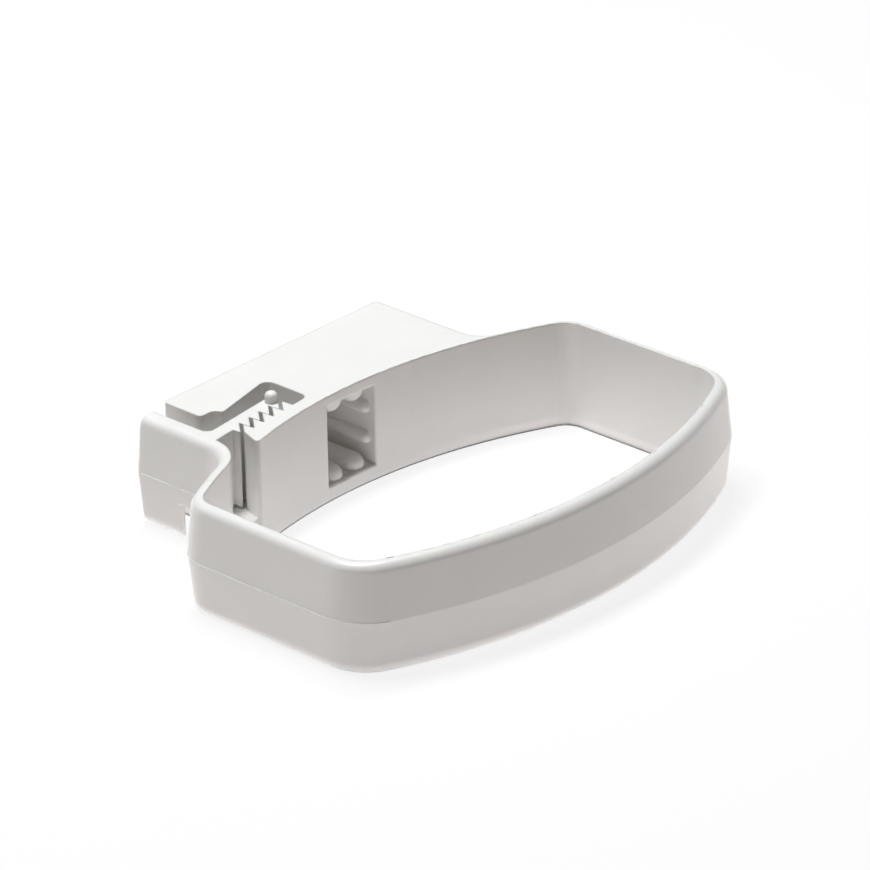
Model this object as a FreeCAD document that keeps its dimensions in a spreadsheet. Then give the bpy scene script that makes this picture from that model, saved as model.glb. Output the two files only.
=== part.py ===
import FreeCAD, Part
import math
import os
import Sketcher
from FreeCAD import Vector

# Wall bracket for an oval plastic downpipe, moulded in one piece. A block screws to the wall, a band
# loops round the pipe from the block's right-hand side, and the band's free end carries a toothed
# tongue that locks in a slot in the block, and a thumb tab that lifts the tongue out again.
# The sketches are drawn with the pipe's axis on Z, X along the wall and +Y towards it. The finished
# body is then moved in Y, so that its origin is the middle of its box, on the lower rim.

# All lengths in millimetres, angles in degrees.
SIZES = {
    # pipe and band
    "pipe_length": 90.0,
    "pipe_depth": 56.0,
    "end_play": 0.8,
    "side_play": 0.5,
    "side_radius": 96.0,
    "front_corner": 7.3,
    "back_corner": 4.0,
    "band_height": 20.0,
    "wall_middle": 3.0,
    "wall_rim": 2.0,
    "rim_radius": 1.7,
    "strap_lift": 0.9,
    # wall block
    "wall_distance": 48.4,
    "block_left": 23.4,
    "block_right": 30.0,
    "block_corner": 0.8,
    "heel_radius": 5.0,
    "heel_length": 9.0,
    # ratchet slot
    "slot_floor": 5.5,
    "slot_end": 5.8,
    "slot_rear": 41.1,
    "slot_tilt": 13.0,
    "slot_corner": 1.6,
    "mouth_length": 3.9,
    "mouth_depth": 1.6,
    "mouth_slope": 0.9,
    "mouth_lip": 0.6,
    "mouth_corner": 1.5,
    "jaw_slant": 19.0,
    "jaw_reach": 0.9,
    "jaw_corner": 0.65,
    # rack of teeth, shared by the jaw and the tongue
    "rack_end": 9.9,
    "rack_root": 30.77,
    "rack_tilt": 6.5,
    "tooth_pitch": 2.7,
    "tooth_depth": 2.4,
    "tooth_count": 5,
    "tooth_lift": 0.98,
    "flank_play": 0.14,
    # tongue, tab and bend
    "tongue_back": 1.9,
    "tongue_heel": 0.8,
    "tongue_fillet": 1.5,
    "floor_play": 0.3,
    "floor_gap": 1.5,
    "tab_side": 27.1,
    "tab_backing": 1.0,
    "tab_skin": 1.6,
    "tab_end": 47.7,
    "tab_round": 0.9,
    "tab_notch": 9.8,
    "notch_height": 6.8,
    "notch_reach": 5.0,
    "notch_corner": 0.5,
    "bend_radius": 9.0,
    "nub_radius": 1.1,
    "nub_height": 1.9,
    "nub_dome": 0.8,
    "nub_tip": 1.2,
    "nub_inset": 1.45,
    # fixing socket
    "fixing_x": 1.9,
    "socket_width": 11.6,
    "socket_sill": 2.9,
    "socket_lintel": 2.1,
    "socket_back": 4.0,
    "socket_edge": 0.4,
    "rib_radius": 2.2,
    "rib_nose": 2.1,
    "rib_spread": 5.5,
    "rib_inset": 0.25,
    "rib_setback": 0.55,
    "side_rib_radius": 1.2,
    "side_rib_nose": 1.0,
    "side_rib_spread": 5.8,
    "side_rib_setback": 1.0,
    "screw_hole": 5.0,
    # hollows moulded into the wall side
    "core_wall": 2.5,
    "core_depth": 16.0,
    "core_shallow": 4.0,
}

doc = FreeCAD.newDocument("downpipe_bracket")
sheet = doc.addObject("Spreadsheet::Sheet", "Sizes")
for row, (alias, number) in enumerate(SIZES.items(), 1):
    sheet.set("A%d" % row, alias)
    sheet.set("B%d" % row, str(number))
    sheet.setAlias("B%d" % row, alias)

# Places that follow from the sizes, each worked out once.
layout = doc.addObject("App::VarSet", "Layout")
LAYOUT = {
    "origin": "0",
    "half_length": "Sizes.pipe_length / 2 + Sizes.end_play",
    "half_depth": "Sizes.pipe_depth / 2 + Sizes.side_play",
    "left_side": "-Layout.half_length",
    "side_centre": "Layout.half_depth - Sizes.side_radius",
    "front_centre": "-Layout.side_centre",
    "strap_centre": "Layout.side_centre + Sizes.strap_lift",
    "bend_y": "Layout.strap_centre + sqrt((Sizes.side_radius + Sizes.bend_radius) ^ 2"
              " - (Layout.tab_line - Sizes.bend_radius) ^ 2)",
    "parting_z": "Sizes.band_height / 2",
    "rim_flat": "Sizes.wall_rim - Sizes.rim_radius",
    "back_rim": "Layout.half_depth + Sizes.wall_rim",
    "back_middle": "Layout.half_depth + Sizes.wall_middle",
    "tab_line": "-Sizes.tab_side - Sizes.tab_backing",
    # block
    "block_west": "-Sizes.block_left",
    "heel_x": "Sizes.block_right + Sizes.heel_length",
    "heel_y": "Layout.side_centre + sqrt((Sizes.side_radius + Sizes.wall_rim / 2) ^ 2"
              " - Sizes.block_right ^ 2)",
    "heel_end_y": "Layout.side_centre + sqrt((Sizes.side_radius + Layout.rim_flat) ^ 2"
                  " - Layout.heel_x ^ 2)",
    "block_front": "Layout.heel_end_y - Sizes.wall_rim",
    # slot
    "slot_east": "-Sizes.slot_end",
    "floor_west": "Layout.tab_inside + Sizes.floor_gap",
    "floor_rear": "Layout.notch_rear - Sizes.floor_play",
    "slot_west": "Layout.floor_west - Sizes.tooth_pitch",
    "jaw_tip_x": "-Sizes.block_left - Sizes.jaw_reach",
    "jaw_tip_y": "Layout.side_centre + sqrt(Sizes.side_radius ^ 2 - Layout.jaw_tip_x ^ 2)",
    "jaw_root_x": "Layout.jaw_tip_x + (Sizes.rack_root - Layout.jaw_tip_y) * tan(Sizes.jaw_slant * 1 deg)",
    "jaw_mid": "Layout.jaw_tip_x + 4 * Sizes.jaw_corner",
    "floor_front": "Layout.jaw_mid_y + Sizes.jaw_corner",
    "jaw_mid_y": "Layout.side_centre + sqrt(Sizes.side_radius ^ 2 - Layout.jaw_mid ^ 2)",
    "mouth_x": "-Sizes.block_left + Sizes.mouth_length",
    "mouth_mid_x": "Layout.mouth_x - Sizes.mouth_slope",
    "rack_slope": "tan(Sizes.rack_tilt * 1 deg)",
    "rear_slope": "tan(Sizes.slot_tilt * 1 deg)",
    "slot_front_east": "Sizes.rack_root + (Sizes.rack_end - Sizes.slot_end) * Layout.rack_slope",
    "slot_front_west": "Sizes.rack_root + (Sizes.rack_end + Layout.slot_west) * Layout.rack_slope",
    "mouth_y": "Sizes.slot_rear - (Sizes.block_left - Sizes.mouth_length - Sizes.slot_end)"
               " * Layout.rear_slope",
    "mouth_rear_y": "Layout.mouth_y + Sizes.mouth_depth",
    "slot_depth": "Sizes.band_height - Sizes.slot_floor",
    # rack frame: its origin is the foot of the last tooth's steep flank
    "rack_x": "-Sizes.rack_end",
    "pitch_back": "-Sizes.tooth_pitch",
    "flank_back": "Sizes.flank_play - Sizes.tooth_pitch",
    "tongue_under": "Sizes.tooth_depth + Sizes.tooth_lift",
    "tongue_top": "Layout.tongue_under + Sizes.tongue_back",
    "tongue_heel_t": "Layout.tongue_under - Sizes.tongue_heel",
    "tongue_heel_s": "Sizes.flank_play - Sizes.tooth_pitch * Sizes.tooth_count",
    "tongue_west": "(Sizes.rack_end - Sizes.tab_side - Sizes.wall_rim / 2)"
                   " / cos(Sizes.rack_tilt * 1 deg)",
    "tongue_z": "Sizes.slot_floor + Sizes.floor_play",
    "tongue_height": "Sizes.band_height - Layout.tongue_z",
    "rack_length": "Sizes.tooth_pitch * (Sizes.tooth_count - 1)",
    "tongue_root_y": "Sizes.rack_root + Layout.tongue_top / cos(Sizes.rack_tilt * 1 deg)"
                     " - (Sizes.tab_side - Sizes.rack_end) * Layout.rack_slope",
    "nub_s": "Sizes.flank_play - Sizes.nub_tip",
    "nub_t": "Layout.tongue_top - Sizes.nub_inset",
    "nub_x": "Layout.rack_x + Layout.nub_s * cos(Sizes.rack_tilt * 1 deg)"
             " - Layout.nub_t * sin(Sizes.rack_tilt * 1 deg)",
    "nub_y": "Sizes.rack_root + Layout.nub_s * sin(Sizes.rack_tilt * 1 deg)"
             " + Layout.nub_t * cos(Sizes.rack_tilt * 1 deg)",
    "nub_plane": "-Layout.nub_y",
    # tab, with the notch in it over the end of the slot floor
    "tab_inside": "-Sizes.tab_side",
    "backing_y": "Layout.tongue_root_y - Sizes.tongue_back",
    "skin_x": "Layout.tab_line - Sizes.wall_middle + Sizes.tab_skin",
    "notch_west": "Layout.tab_line - Sizes.notch_reach",
    "notch_east": "Layout.floor_west - Sizes.floor_play",
    "notch_rear": "Sizes.tab_end - Sizes.tab_notch",
    "notch_end": "Sizes.tab_end + Sizes.tab_round",
    # socket
    "socket_west": "Sizes.fixing_x - Sizes.socket_width / 2",
    "socket_east": "Sizes.fixing_x + Sizes.socket_width / 2",
    "socket_top": "Sizes.band_height - Sizes.socket_lintel",
    "socket_z": "(Sizes.socket_sill + Layout.socket_top) / 2",
    "socket_floor": "Sizes.wall_distance - Sizes.socket_back",
    "screw_radius": "Sizes.screw_hole / 2",
    "rib_west": "Sizes.fixing_x - Sizes.rib_spread / 2",
    "rib_east": "Sizes.fixing_x + Sizes.rib_spread / 2",
    "rib_bottom": "Sizes.socket_sill + Sizes.rib_inset",
    "rib_top": "Layout.socket_top - Sizes.rib_inset",
    "rib_front": "Layout.half_depth + Sizes.rib_setback",
    "side_rib_low": "Layout.socket_z - Sizes.side_rib_spread / 2",
    "side_rib_high": "Layout.socket_z + Sizes.side_rib_spread / 2",
    "side_rib_front": "Layout.half_depth + Sizes.side_rib_setback",
    # hollows
    "wall_plane": "-Sizes.wall_distance",
    "core_low": "Sizes.core_wall",
    "core_high": "Sizes.band_height - Sizes.core_wall",
    "core_a": "Layout.socket_east + Sizes.core_wall",
    "core_b": "Sizes.block_right - Sizes.core_wall",
    "core_c": "-Sizes.block_left + Sizes.core_wall",
    "core_d": "Layout.socket_west - Sizes.core_wall",
    # middle of the finished box
    "centre_y": "(Sizes.wall_distance - Layout.back_middle) / 2",
}
for name, formula in LAYOUT.items():
    layout.addProperty("App::PropertyFloat", name)
    layout.setExpression(name, formula)
doc.recompute()


def ref(name):
    return ("Sizes." if name in SIZES else "Layout.") + name


def value(name):
    return getattr(sheet if name in SIZES else layout, name)


body = doc.addObject("PartDesign::Body", "bracket")
body.Label = "bracket"


def new_sketch(name, role, shift=(), turn=None):
    sketch = body.newObject("Sketcher::SketchObject", name)
    plane = next(f for f in body.Origin.OriginFeatures if f.Role == role)
    sketch.AttachmentSupport = [(plane, "")]
    sketch.MapMode = "FlatFace"
    for axis, size in shift:
        sketch.setExpression("AttachmentOffset.Base." + axis, ref(size))
    if turn:
        sketch.setExpression("AttachmentOffset.Rotation.Angle", ref(turn))
    return sketch


def fix(sketch, kind, size, *places):
    index = sketch.addConstraint(Sketcher.Constraint(kind, *places, value(size)))
    sketch.setExpression("Constraints[%d]" % index, ref(size))


def fix_point(sketch, geo, end, x, y):
    fix(sketch, "DistanceX", x, -1, 1, geo, end)
    fix(sketch, "DistanceY", y, -1, 1, geo, end)


def polygon(sketch, corners):
    # corners: (x, y) or (x, y, radius), each the name of a size or place
    first = sketch.GeometryCount
    points = [Vector(value(c[0]), value(c[1]), 0) for c in corners]
    for start, end in zip(points, points[1:] + points[:1]):
        sketch.addGeometry(Part.LineSegment(start, end), False)
    for i, corner in enumerate(corners):
        before = first + (i - 1) % len(corners)
        sketch.addConstraint(Sketcher.Constraint("Coincident", before, 2, first + i, 1))
        fix_point(sketch, first + i, 1, corner[0], corner[1])
    for i, corner in enumerate(corners):
        if len(corner) == 3:
            sketch.fillet(first + i, 1, value(corner[2]), True, True)
            fix(sketch, "Radius", corner[2], sketch.GeometryCount - 2)
    return sketch


def circles(sketch, centres, radius):
    for x, y in centres:
        circle = Part.Circle(Vector(value(x), value(y), 0), Vector(0, 0, 1), value(radius))
        geo = sketch.addGeometry(circle, False)
        fix_point(sketch, geo, 3, x, y)
        fix(sketch, "Radius", radius, geo)
    return sketch


def extrude(kind, name, sketch, length, reverse=False):
    feature = body.newObject("PartDesign::" + kind, name)
    feature.Profile = sketch
    feature.Reversed = reverse
    if length:
        feature.setExpression("Length", ref(length))
    else:
        feature.Type = "ThroughAll"
    sketch.Visibility = False
    doc.recompute()
    return feature


def chain(sketch, pieces):
    # pieces run clockwise: ("line", start, end) or ("arc", centre, radius size, first angle, last angle),
    # where an arc that turns the other way is ("turn", ...)
    ends = []
    for kind, *shape in pieces:
        if kind == "line":
            geo = sketch.addGeometry(Part.LineSegment(*shape), False)
            ends.append((geo, 1, 2))
            continue
        centre, radius, first, last = shape
        circle = Part.Circle(centre, Vector(0, 0, 1), value(radius))
        run = (first, last) if kind == "turn" else (last, first)
        geo = sketch.addGeometry(Part.ArcOfCircle(circle, *run), False)
        ends.append((geo, 1, 2) if kind == "turn" else (geo, 2, 1))
        fix(sketch, "Radius", radius, geo)
    for (geo, _, end), (other, start, _) in zip(ends, ends[1:]):
        sketch.addConstraint(Sketcher.Constraint("Tangent", geo, end, other, start))
    return [geo for geo, _, _ in ends]


def corner(radius):
    # a rounded corner between an end wall and a bowed side: its centre, measured from the axis and from
    # the bowed side's centre, and the angle at which it meets the bowed side
    across = value("half_length") - value(radius)
    along = math.sqrt((value("side_radius") - value(radius)) ** 2 - across ** 2)
    return across, along, math.atan2(along, across)


def tip(feature):
    body.Tip = feature
    doc.recompute()
    return feature


def revolve(name, sketch, corners):
    feature = body.newObject("PartDesign::Revolution", name)
    feature.Profile = polygon(sketch, corners)
    feature.ReferenceAxis = (sketch, ["V_Axis"])
    sketch.Visibility = False
    doc.recompute()
    return feature


def rack_teeth(name, corners, z, height):
    sketch = new_sketch(name + "_plan", "XY_Plane", RACK + (("z", z),), "rack_tilt")
    tooth = extrude("Pad", name, polygon(sketch, corners), height)
    pattern = body.newObject("PartDesign::LinearPattern", name + "_row")
    pattern.Originals = [tooth]
    pattern.Direction = (sketch, ["H_Axis"])
    pattern.Reversed = True
    pattern.setExpression("Length", ref("rack_length"))
    pattern.setExpression("Occurrences", ref("tooth_count"))
    return tip(pattern)


def round_edges(name, radius, places):
    # places: points near the middles of the edges to round
    base = body.Tip
    middles = [e.valueAt((e.FirstParameter + e.LastParameter) / 2) for e in base.Shape.Edges]
    names = []
    for place in places:
        nearest = min(range(len(middles)), key=lambda i: middles[i].distanceToPoint(place))
        names.append("Edge%d" % (nearest + 1))
    fillet = body.newObject("PartDesign::Fillet", name)
    fillet.Base = (base, names)
    fillet.setExpression("Radius", ref(radius))
    return tip(fillet)


RACK = (("x", "rack_x"), ("y", "rack_root"))

# Wall block, with a heel that runs out along the band, and a hollow front that follows the pipe.
extrude("Pad", "block", polygon(new_sketch("block_plan", "XY_Plane"), [
    ("jaw_tip_x", "block_front"),
    ("jaw_tip_x", "rack_root"),
    ("block_west", "rack_root"),
    ("block_west", "wall_distance", "block_corner"),
    ("block_right", "wall_distance", "block_corner"),
    ("block_right", "heel_y", "heel_radius"),
    ("heel_x", "heel_end_y"),
    ("heel_x", "block_front"),
]), "band_height")
extrude("Pocket", "block_face", circles(
    new_sketch("block_face_plan", "XY_Plane", (("z", "band_height"),)),
    [("origin", "side_centre")], "side_radius"), None)

# Slot for the tongue, open above and at the block's left end, over a floor that ties the jaw on and
# runs out under the tongue's root.
extrude("Pocket", "slot", polygon(new_sketch("slot_plan", "XY_Plane", (("z", "band_height"),)), [
    ("slot_west", "slot_front_west"),
    ("slot_east", "slot_front_east", "slot_corner"),
    ("slot_east", "slot_rear", "slot_corner"),
    ("mouth_x", "mouth_y", "mouth_lip"),
    ("mouth_mid_x", "mouth_rear_y", "mouth_corner"),
    ("slot_west", "mouth_rear_y"),
]), "slot_depth")
rack_teeth("jaw_tooth", [
    ("origin", "origin"),
    ("origin", "tooth_depth"),
    ("pitch_back", "origin"),
], "slot_floor", "slot_depth")
extrude("Pocket", "jaw_end", polygon(new_sketch("jaw_end_plan", "XY_Plane", (("z", "band_height"),)), [
    ("slot_west", "block_front"),
    ("jaw_mid", "block_front"),
    ("jaw_mid", "jaw_mid_y"),
    ("jaw_tip_x", "jaw_tip_y", "jaw_corner"),
    ("jaw_root_x", "rack_root"),
    ("slot_west", "rack_root"),
]), None)
extrude("Pad", "floor", polygon(new_sketch("floor_plan", "XY_Plane"), [
    ("floor_west", "jaw_tip_y"),
    ("jaw_mid", "floor_front"),
    ("jaw_mid", "floor_rear"),
    ("floor_west", "floor_rear"),
]), "slot_floor")
round_edges("mouth_edge_round", "block_corner", [
    Vector(value("block_west"), value("mouth_rear_y"), (value("slot_floor") + value("band_height")) / 2)])

# Band: one section run round the pipe, along the bend and out to the end of the thumb tab. The strap
# between the last corner and the bend stands off the pipe a little, as the latch is closed.
front_x, front_y, front_angle = corner("front_corner")
back_x, back_y, back_angle = corner("back_corner")
back_centre = Vector(0, value("side_centre"), 0)
front_centre = Vector(0, value("front_centre"), 0)
strap_centre = Vector(0, value("strap_centre"), 0)
bend_centre = Vector(value("tab_line") - value("bend_radius"), value("bend_y"), 0)
bend_angle = math.atan2(bend_centre.y - strap_centre.y, bend_centre.x)
right_back = back_centre + Vector(back_x, back_y, 0)
right_front = front_centre + Vector(front_x, -front_y, 0)
left_front = front_centre - Vector(front_x, front_y, 0)
left_back = strap_centre + Vector(-back_x, back_y, 0)
front_reach = Vector(value("front_corner"), 0, 0)
back_reach = Vector(value("back_corner"), 0, 0)
bend_reach = Vector(value("bend_radius"), 0, 0)
path = new_sketch("band_path", "XY_Plane")
run = chain(path, [
    ("arc", back_centre, "side_radius", math.pi / 2, back_angle),
    ("arc", right_back, "back_corner", back_angle, 0),
    ("line", right_back + back_reach, right_front + front_reach),
    ("arc", right_front, "front_corner", 0, -front_angle),
    ("arc", front_centre, "side_radius", -front_angle, front_angle - math.pi),
    ("arc", left_front, "front_corner", front_angle + math.pi, math.pi),
    ("line", left_front - front_reach, left_back - back_reach),
    ("arc", left_back, "back_corner", math.pi, math.pi - back_angle),
    ("arc", strap_centre, "side_radius", math.pi - back_angle, bend_angle),
    ("turn", bend_centre, "bend_radius", bend_angle - math.pi, 0),
    ("line", bend_centre + bend_reach, Vector(value("tab_line"), value("tab_end"), 0)),
])
back, _, right, _, front, _, left, _, strap, _, tab = run
for side, centre in ((back, "side_centre"), (front, "front_centre"), (strap, "strap_centre")):
    path.addConstraint(Sketcher.Constraint("PointOnObject", side, 3, -2))
    fix(path, "DistanceY", centre, -1, 1, side, 3)
for side, x in ((right, "half_length"), (left, "left_side")):
    path.addConstraint(Sketcher.Constraint("Vertical", side))
    fix(path, "DistanceX", x, -1, 1, side, 1)
path.addConstraint(Sketcher.Constraint("PointOnObject", back, 2, -2))
path.addConstraint(Sketcher.Constraint("Vertical", tab))
fix_point(path, tab, 2, "tab_line", "tab_end")
section = polygon(new_sketch("band_section", "YZ_Plane"), [
    ("half_depth", "origin"),
    ("back_rim", "origin", "rim_radius"),
    ("back_middle", "parting_z"),
    ("back_rim", "band_height", "rim_radius"),
    ("half_depth", "band_height"),
])
band = body.newObject("PartDesign::AdditivePipe", "band")
band.Profile = section
band.Spine = (path, ["Edge%d" % (i + 1) for i in range(len(run))])
doc.recompute()

# The tab is thicker behind the tongue, and thin and notched where it passes the end of the slot's floor.
extrude("Pad", "tab_back", polygon(new_sketch("tab_back_plan", "XY_Plane"), [
    ("tab_line", "backing_y"),
    ("tab_inside", "backing_y"),
    ("tab_inside", "tab_end"),
    ("tab_line", "tab_end"),
]), "band_height")
outer_x = value("tab_line") - value("wall_middle")
round_edges("tab_end_round", "tab_round", [
    Vector(x, value("tab_end"), z) for x, z in (
        (value("tab_inside"), value("parting_z")),
        (outer_x, value("parting_z") / 2),
        (outer_x, value("band_height") - value("parting_z") / 2))])
extrude("Pocket", "notch", polygon(new_sketch("notch_plan", "XY_Plane", (("z", "notch_height"),)), [
    ("notch_west", "origin"),
    ("notch_east", "origin"),
    ("notch_east", "notch_end"),
    ("skin_x", "notch_end"),
    ("skin_x", "notch_rear"),
    ("notch_west", "notch_rear"),
]), None)
round_edges("notch_round", "notch_corner", [
    Vector(outer_x, value("notch_rear"), value("notch_height") / 2)])

# Tongue, with its row of teeth hooked over the jaw's, and the gate mark on its tip.
extrude("Pad", "tongue", polygon(
    new_sketch("tongue_plan", "XY_Plane", RACK + (("z", "tongue_z"),), "rack_tilt"), [
        ("tongue_west", "tongue_heel_t"),
        ("tongue_heel_s", "tongue_heel_t"),
        ("tongue_heel_s", "tongue_under"),
        ("flank_play", "tongue_under"),
        ("flank_play", "tongue_top"),
        ("tongue_west", "tongue_top"),
    ]), "tongue_height")
root_z = (value("notch_height") + value("band_height")) / 2
round_edges("tongue_root_round", "tongue_fillet", [
    Vector(value("tab_inside"), value("tongue_root_y"), root_z)])
rack_teeth("tongue_tooth", [
    ("flank_back", "tooth_lift"),
    ("flank_play", "tongue_under"),
    ("flank_back", "tongue_under"),
], "tongue_z", "tongue_height")
revolve("nub", new_sketch("nub_half", "XZ_Plane", (
    ("x", "nub_x"), ("y", "band_height"), ("z", "nub_plane"))), [
        ("origin", "origin"),
        ("nub_radius", "origin"),
        ("nub_radius", "nub_height", "nub_dome"),
        ("origin", "nub_height"),
    ])

# Fixing socket with its crush ribs, and the screw's hole through to the wall.
extrude("Pocket", "socket", polygon(new_sketch("socket_face", "XZ_Plane"), [
    ("socket_west", "socket_sill"),
    ("socket_east", "socket_sill"),
    ("socket_east", "socket_top"),
    ("socket_west", "socket_top"),
]), "socket_floor")
window_x = (value("socket_west"), value("fixing_x"), value("socket_east"))
window_y = [value("side_centre") + math.sqrt(value("side_radius") ** 2 - x ** 2) for x in window_x]
round_edges("socket_edges", "socket_edge", [
    Vector(window_x[i], window_y[i], value(z)) for i, z in (
        (0, "socket_z"), (1, "socket_sill"), (1, "socket_top"), (2, "socket_z"))])
RIBS = [(x, z, "") for x in ("rib_west", "rib_east") for z in ("rib_bottom", "rib_top")]
RIBS += [(x, z, "side_") for x in ("socket_west", "socket_east") for z in ("side_rib_low", "side_rib_high")]
for i, (x, z, side) in enumerate(RIBS, 1):
    revolve("rib_%d" % i, new_sketch("rib_%d_half" % i, "XY_Plane", (("x", x), ("z", z))), [
        ("origin", side + "rib_front"),
        (side + "rib_radius", side + "rib_front", side + "rib_nose"),
        (side + "rib_radius", "socket_floor"),
        ("origin", "socket_floor"),
    ])
extrude("Pocket", "screw_hole_cut", circles(
    new_sketch("screw_axis", "XZ_Plane"), [("fixing_x", "socket_z")], "screw_radius"), None)

# Hollows in the wall side that keep the moulding's walls even.
for name, west, east, depth in (
        ("right_hollow", "core_a", "core_b", "core_depth"),
        ("left_hollow", "core_c", "core_d", "core_shallow")):
    extrude("Pocket", name, polygon(new_sketch(name + "_face", "XZ_Plane", (("z", "wall_plane"),)), [
        (west, "core_low"),
        (east, "core_low"),
        (east, "core_high"),
        (west, "core_high"),
    ]), depth, reverse=True)

body.setExpression("Placement.Base.y", "-Layout.centre_y")
doc.recompute()

for item in doc.Objects:
    if "Invalid" in item.State or "Error" in item.State:
        raise RuntimeError("%s failed: %s" % (item.Label, item.State))
if body.Shape.isNull() or not body.Shape.isValid() or len(body.Shape.Solids) != 1:
    raise RuntimeError("the bracket is not one sound solid")
os.makedirs("parts", exist_ok=True)
body.Shape.exportStep("parts/%s.step" % body.Label)
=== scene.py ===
import math

import bmesh
import bpy
from mathutils import Matrix, Vector, noise


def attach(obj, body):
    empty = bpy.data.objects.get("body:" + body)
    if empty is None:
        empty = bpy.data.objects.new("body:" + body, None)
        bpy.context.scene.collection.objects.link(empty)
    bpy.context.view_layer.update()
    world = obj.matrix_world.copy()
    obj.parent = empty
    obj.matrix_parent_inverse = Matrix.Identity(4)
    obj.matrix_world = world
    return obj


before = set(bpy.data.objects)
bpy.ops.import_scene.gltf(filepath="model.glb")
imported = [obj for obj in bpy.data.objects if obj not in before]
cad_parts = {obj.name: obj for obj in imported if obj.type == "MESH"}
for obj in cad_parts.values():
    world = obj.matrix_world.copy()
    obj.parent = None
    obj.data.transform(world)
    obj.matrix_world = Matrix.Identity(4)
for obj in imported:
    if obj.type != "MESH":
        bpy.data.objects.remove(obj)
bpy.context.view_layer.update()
mm = 0.001
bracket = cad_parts["bracket"]
scene = bpy.context.scene
up = Vector((0, 0, 1))
scene.view_settings.view_transform = "Standard"
# white plastic passes light on many times in its narrow gaps
bounces = {"all": 24, "diffuse": 16}
scene.cycles.max_bounces = bounces["all"]
scene.cycles.diffuse_bounces = bounces["diffuse"]
print("frame loaded,", len(bracket.data.polygons), "faces")


def linear(hexColour):
    parts = [int(hexColour[i:i + 2], 16) / 255 for i in (1, 3, 5)]
    return [p / 12.92 if p <= 0.04045 else ((p + 0.055) / 1.055) ** 2.4 for p in parts] + [1]


# adds one node, sets its properties and sockets, and links sockets that are given another node's output;
# a socket that shares its name with another is given by its number, as i6
def addNode(tree, kind, settings=None, **inputs):
    node = tree.nodes.new(kind)
    for key, value in (settings or {}).items():
        setattr(node, key, value)
    for key, value in inputs.items():
        byIndex = key[0] == "i" and key[1:].isdigit()
        socket = node.inputs[int(key[1:]) if byIndex else key.replace("_", " ")]
        if isinstance(value, bpy.types.NodeSocket):
            tree.links.new(value, socket)
        else:
            socket.default_value = value
    return node


def newMaterial(name):
    material = bpy.data.materials.new(name)
    material.use_nodes = True
    material.node_tree.nodes.clear()
    return material, material.node_tree


# 1 for a ray of any of the named kinds, and 0 for the others
def anyRay(tree, first, *others):
    path = addNode(tree, "ShaderNodeLightPath")
    flag = path.outputs[first]
    for kind in others:
        either = addNode(tree, "ShaderNodeMath", {"operation": "MAXIMUM"}, i0=flag, i1=path.outputs[kind])
        flag = either.outputs[0]
    return flag


# builds one PVC from its settings: clouded colour and gloss, orange peel, softened edges, shallow scattering
def makePvc(name, look):
    material, tree = newMaterial(name)
    place = addNode(tree, "ShaderNodeTexCoord").outputs["Object"]
    cloud = addNode(tree, "ShaderNodeTexNoise", Vector=place, Scale=1 / (look["cloudSize"] * mm), Detail=3.0)
    colour = addNode(tree, "ShaderNodeMix", {"data_type": "RGBA"}, i0=cloud.outputs["Fac"],
                     i6=linear(look["colour"]), i7=linear(look["cloud"]))
    gloss = addNode(tree, "ShaderNodeTexNoise", Vector=place, Scale=1 / (look["glossSize"] * mm), Detail=4.0)
    rough = addNode(tree, "ShaderNodeMapRange", Value=gloss.outputs["Fac"], To_Min=look["roughness"][0],
                    To_Max=look["roughness"][1])
    peel = addNode(tree, "ShaderNodeTexNoise", Vector=place, Scale=1 / (look["peelSize"] * mm), Detail=2.0)
    bump = addNode(tree, "ShaderNodeBump", Height=peel.outputs["Fac"], Distance=look["peelDepth"] * mm)
    if look["edge"]:
        edge = addNode(tree, "ShaderNodeBevel", {"samples": 6}, Radius=look["edge"] * mm)
        tree.links.new(edge.outputs[0], bump.inputs["Normal"])
    shader = addNode(tree, "ShaderNodeBsdfPrincipled", Base_Color=colour.outputs[2],
                     Roughness=rough.outputs[0], IOR=look["ior"], Normal=bump.outputs[0],
                     Subsurface_Weight=look["scatter"], Subsurface_Radius=look["scatterTint"],
                     Subsurface_Scale=look["scatterDepth"] * mm)
    addNode(tree, "ShaderNodeOutputMaterial", Surface=shader.outputs[0])
    return material


# White rigid PVC, injection moulded: a clean semi-gloss skin that lets a little light in, which softens thin
# edges and warms narrow gaps. Faint flow marks cloud the colour and the gloss, and a fine orange peel keeps
# the flat faces from looking machined. Lengths are in mm.
pvc = {"colour": "#f0efee", "cloud": "#e9e8e6", "cloudSize": 9.0, "roughness": (0.30, 0.42), "glossSize": 2.5,
       "peelSize": 0.9, "peelDepth": 0.006, "edge": 0.45, "ior": 1.53,
       "scatter": 0.25, "scatterDepth": 1.4, "scatterTint": (1.0, 0.82, 0.66)}
pvcMaterial = makePvc("whitePvcMoulded", pvc)
# The same PVC as thin flash and seams, with its colour painted a shade brighter as a painted highlight for
# the light that these thin ridges catch; drier, and with its edges left raw
paintedBrightFlashMaterial = makePvc("whitePvcFlashPaintedBright", {**pvc, "colour": "#f8f8f7", "cloud": "#efeeec", "cloudSize": 1.5,
                                          "roughness": (0.4, 0.55), "edge": 0, "scatter": 0})
bracket.data.materials.clear()
bracket.data.materials.append(pvcMaterial)
print("materials made")

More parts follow.
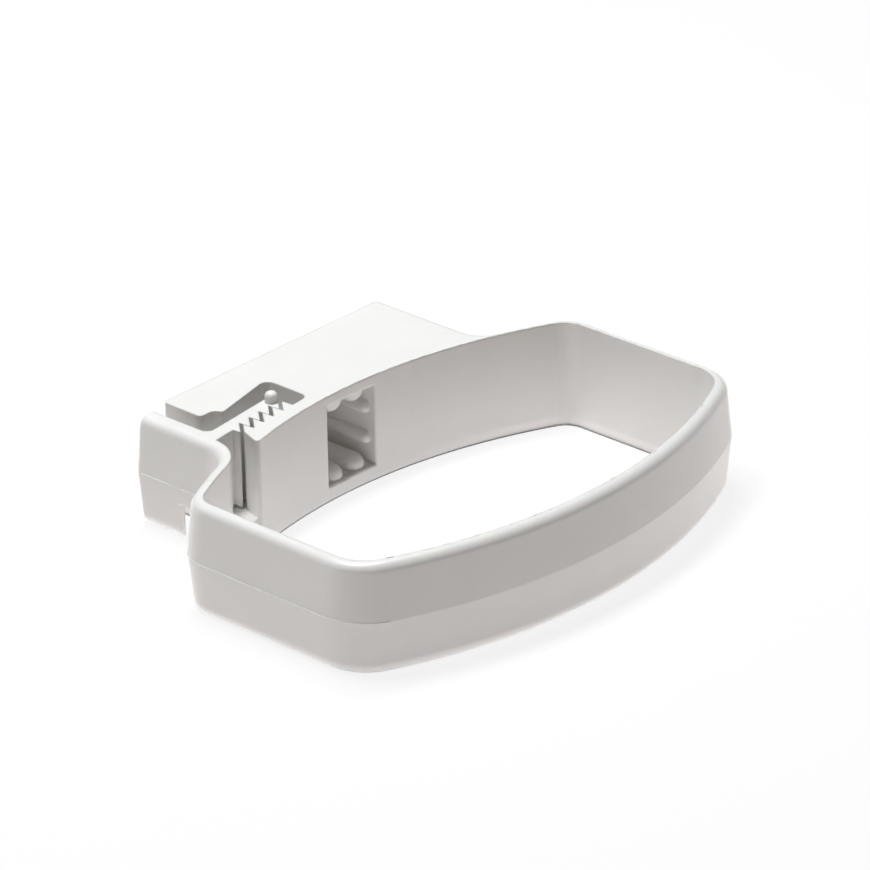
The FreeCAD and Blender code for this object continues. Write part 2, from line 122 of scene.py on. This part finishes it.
# Smooth shading over the rounded faces, with the moulding's own edges kept crisp
shading = {"edgeAngle": math.radians(28)}
group = bpy.data.node_groups.new("smoothFaces", "GeometryNodeTree")
group.interface.new_socket("Geometry", in_out="INPUT", socket_type="NodeSocketGeometry")
group.interface.new_socket("Geometry", in_out="OUTPUT", socket_type="NodeSocketGeometry")
entry = addNode(group, "NodeGroupInput")
angle = addNode(group, "GeometryNodeInputMeshEdgeAngle")
sharp = addNode(group, "FunctionNodeCompare", {"data_type": "FLOAT", "operation": "GREATER_THAN"},
                i0=angle.outputs[0], i1=shading["edgeAngle"])
allSmooth = addNode(group, "GeometryNodeSetShadeSmooth", {"domain": "FACE"}, Geometry=entry.outputs[0])
crisp = addNode(group, "GeometryNodeSetShadeSmooth", {"domain": "EDGE"}, Geometry=allSmooth.outputs[0],
                Selection=sharp.outputs[0], Shade_Smooth=False)
addNode(group, "NodeGroupOutput", Geometry=crisp.outputs[0])
bracket.modifiers.new("smoothFaces", "NODES").node_group = group

# The band's inner line in mm, from the tab round the loop to the block's left end: arcs as centre, radius,
# start and end angle and the side that the wall stands on, and straight runs as two points
bandLine = {
    "tab": ((-28.1, 38.3), (-28.1, 23.18), 1), "bend": ((-37.1, 23.18), 9, 0, -69.31, -1),
    "strap": ((0, -75.05), 96, 110.69, 117.02, 1), "backLeft": ((-41.8, 6.91), 4, 117.02, 180, 1),
    "left": ((-45.8, 6.91), (-45.8, -20.86), 1), "frontLeft": ((-38.5, -20.86), 7.3, 180, 244.28, 1),
    "front": ((0, 59.05), 96, 244.28, 295.72, 1), "frontRight": ((38.5, -20.86), 7.3, 295.72, 360, 1),
    "right": ((45.8, -20.86), (45.8, 6.01), 1), "backRight": ((41.8, 6.01), 4, 0, 62.98, 1),
    "back": ((0, -75.95), 96, 62.98, 101.6, 1),
}
# How a ridge is laid along that line, in mm. The base and the crest are half widths, as shares of the whole.
ridge = {"step": 0.5, "leastSteps": 2, "sameJoint": 0.1, "buried": -0.05, "leastPoints": 3,
         "root": -0.12, "base": 0.5, "crest": 0.2}


# evenly spaced points along one stretch of the line, moved outwards, each with its outward direction
def follow(stretch, offset):
    first, second, *rest = bandLine[stretch]
    if len(rest) == 1:
        start, end = Vector((*first, 0)), Vector((*second, 0))
        out = (end - start).normalized().cross(up)
        count = max(ridge["leastSteps"], round((end - start).length / ridge["step"]))
        return [(start.lerp(end, k / count) + out * offset, out) for k in range(count + 1)]
    begin, finish, side = rest
    count = max(ridge["leastSteps"], round(abs(math.radians(finish - begin)) * second / ridge["step"]))
    points = []
    for k in range(count + 1):
        angle = math.radians(begin + (finish - begin) * k / count)
        ray = Vector((math.cos(angle), math.sin(angle), 0))
        points.append((Vector((*first, 0)) + ray * (second + side * offset), ray * side))
    return points


# the same for several stretches in a row, with each joint between them given once
def trace(stretches, offset):
    points = []
    for stretch in stretches:
        for point, out in follow(stretch, offset):
            if not points or (points[-1][1] - point).length > ridge["sameJoint"]:
                points.append((stretch, point, out))
    return points


# the parts of a run that reach the surface, leaving out what would lie buried in the wall
def raised(run):
    parts = [[]]
    for place in run:
        *_, height = place
        if height > ridge["buried"]:
            parts[-1].append(place)
        elif parts[-1]:
            parts.append([])
    return [part for part in parts if len(part) >= ridge["leastPoints"]]


# a low ridge on the surface for each run of (point, outward direction, sideways direction, height)
def addRidges(name, width, runs):
    form = bmesh.new()
    root, base, crest = ridge["root"], ridge["base"], ridge["crest"]
    for run in runs:
        rings = [[form.verts.new((point + across * width * side + out * lift) * mm)
                  for side, lift in ((-base, root), (-crest, height), (crest, height), (base, root))]
                 for point, out, across, height in run]
        for ring, following in zip(rings, rings[1:]):
            for k in range(len(ring)):
                form.faces.new((ring[k - 1], ring[k], following[k], following[k - 1]))
        form.faces.new(rings[0])
        form.faces.new(rings[-1])
    bmesh.ops.recalc_face_normals(form, faces=form.faces)
    mesh = bpy.data.meshes.new(name)
    form.to_mesh(mesh)
    form.free()
    # the ridges take the PVC painted a shade brighter, a painted highlight standing in for the light they
    # catch
    mesh.materials.append(paintedBrightFlashMaterial)
    piece = bpy.data.objects.new(name, mesh)
    scene.collection.objects.link(piece)
    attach(piece, "root")


# Parting line round the outside at half height: an uneven seam, plain on the tab and the left end, and worn
# down to a few specks in front
seam = {"height": 10, "wall": 3.0, "width": 0.34, "wavePace": 0.9, "wave": 0.07,
        "speckPace": 2.3, "speckFrom": 0.35, "speck": 0.35,
        "rise": {"tab": 0.10, "bend": 0.10, "strap": 0.10, "backLeft": 0.11, "left": 0.11, "frontLeft": 0.06,
                 "front": -0.06, "frontRight": -0.04, "right": 0.0, "backRight": 0.02}}
run = []
for stretch, point, out in trace(seam["rise"], seam["wall"]):
    wave = noise.noise(point * seam["wavePace"]) * seam["wave"]
    wave += max(0, noise.noise(point * seam["speckPace"]) - seam["speckFrom"]) * seam["speck"]
    run.append((point + up * seam["height"], out, up, seam["rise"][stretch] + wave))
addRidges("partingSeam", seam["width"], raised(run))

# Flash left on the rim: specks along the loop's inner edge, and a closer line along the block's front edge,
# each as mean height, wave height and pace
flash = {"height": 20, "inset": 0.16, "width": 0.26, "without": ("tab", "bend"),
         "loop": (-0.01, 0.26, 0.8), "block": (0.07, 0.11, 1.7)}
run = []
loop = [stretch for stretch in bandLine if stretch not in flash["without"]]
for stretch, point, out in trace(loop, flash["inset"]):
    base, wave, pace = flash["block" if stretch == "back" else "loop"]
    run.append((point + up * flash["height"], up, out, base + wave * noise.noise(point * pace)))
addRidges("rimFlash", flash["width"], raised(run))

# Witness lines of the mould's inserts: upright on the loop's inner face, and one across the strap's rim
witness = {"width": 0.2, "rise": 0.03, "foot": 0.5, "uprights": ((-3.9, 2.8), (16.3, 19.6), (43.6, 19.6)),
           "strapAngle": 114.3, "strapRise": 0.07, "strapReach": (0.2, 1.1)}
runs = []
centre, radius = bandLine["back"][:2]
for x, top in witness["uprights"]:
    out = Vector((x, math.sqrt(radius ** 2 - x ** 2), 0)).normalized()
    foot = Vector((*centre, 0)) + out * radius
    runs.append([(foot + up * z, -out, out.cross(up), witness["rise"]) for z in (witness["foot"], top)])
centre, radius = bandLine["strap"][:2]
out = Matrix.Rotation(math.radians(witness["strapAngle"]), 3, "Z") @ Vector((1, 0, 0))
foot = Vector((*centre, flash["height"])) + out * radius
runs.append([(foot + out * reach, up, out.cross(up), witness["strapRise"])
             for reach in witness["strapReach"]])
addRidges("witnessLines", witness["width"], runs)
print("mould marks made")

# Floor: matt white paper to the camera, greyer in the light that it throws back on the bracket
floorLook = {"size": 6.0, "colour": "#f7f7f7", "bounce": "#86827f", "lift": 0.85}
bpy.ops.mesh.primitive_plane_add(size=floorLook["size"])
floor = bpy.context.object
floor.name = "floor"
floorMaterial, tree = newMaterial("whitePaperMatt")
seen = anyRay(tree, "Is Camera Ray", "Is Glossy Ray", "Is Transmission Ray")
lift = addNode(tree, "ShaderNodeMath", {"operation": "MULTIPLY"}, i0=seen, i1=floorLook["lift"])
colour = addNode(tree, "ShaderNodeMix", {"data_type": "RGBA"}, i0=seen,
                 i6=linear(floorLook["bounce"]), i7=linear(floorLook["colour"]))
paper = addNode(tree, "ShaderNodeBsdfDiffuse", Color=colour.outputs[2])
glow = addNode(tree, "ShaderNodeEmission", Strength=1.0)
mixed = addNode(tree, "ShaderNodeMixShader", i0=lift.outputs[0], i1=paper.outputs[0], i2=glow.outputs[0])
addNode(tree, "ShaderNodeOutputMaterial", Surface=mixed.outputs[0])
floor.data.materials.append(floorMaterial)

# Studio: a softbox overhead and a little behind, and a light table under the bracket, in a dark room. The
# upright faces are lit mostly from below, so their lower halves are the brighter.
studio = {"colour": "#ffffff", "room": 0.01, "white": 1.0, "lamps": {
    "softbox": {"size": (0.4, 0.12), "at": (0, 0.13, 0.62), "aim": (0, 0.13, 0), "power": 5.0,
                "colour": "#fdfffe"},
    "table": {"size": (1.2, 1.2), "at": (0, 0, 0.0002), "aim": (0, 0, 1), "power": 3.35,
              "colour": "#fffbfa"},
}}
world = bpy.data.worlds.new("studio")
scene.world = world
world.use_nodes = True
tree = world.node_tree
tree.nodes.clear()
seen = anyRay(tree, "Is Camera Ray", "Is Transmission Ray")
room, white = (addNode(tree, "ShaderNodeBackground", Color=linear(studio["colour"]), Strength=strength)
               for strength in (studio["room"], studio["white"]))
mixed = addNode(tree, "ShaderNodeMixShader", i0=seen, i1=room.outputs[0], i2=white.outputs[0])
addNode(tree, "ShaderNodeOutputWorld", Surface=mixed.outputs[0])

for name, lamp in studio["lamps"].items():
    light = bpy.data.lights.new(name, "AREA")
    light.shape = "RECTANGLE"
    light.size, light.size_y = lamp["size"]
    light.energy = lamp["power"]
    light.color = linear(lamp["colour"])[:3]
    box = bpy.data.objects.new(name, light)
    scene.collection.objects.link(box)
    box.location = lamp["at"]
    box.rotation_euler = (Vector(lamp["aim"]) - box.location).to_track_quat("-Z", "Y").to_euler()
print("studio set")

# Camera: long lens, from the front left, above the rim
view = {"azimuth": -47.548, "elevation": 26.187, "roll": 0.93, "distance": 929.16,
        "aim": (2.47, 1.145, 16.39), "lens": 227.6, "sensor": 36}
around, above = math.radians(view["azimuth"]), math.radians(view["elevation"])
back = Vector((math.sin(around) * math.cos(above), -math.cos(around) * math.cos(above), math.sin(above)))
right = Vector((math.cos(around), math.sin(around), 0))
turn = Matrix((right, back.cross(right), back)).transposed()
turn = turn @ Matrix.Rotation(-math.radians(view["roll"]), 3, "Z")
cameraData = bpy.data.cameras.new("camera")
cameraData.lens = view["lens"]
cameraData.sensor_width = view["sensor"]
camera = bpy.data.objects.new("camera", cameraData)
scene.collection.objects.link(camera)
place = (Vector(view["aim"]) + back * view["distance"]) * mm
camera.matrix_world = Matrix.Translation(place) @ turn.to_4x4()
scene.camera = camera
print("camera placed")
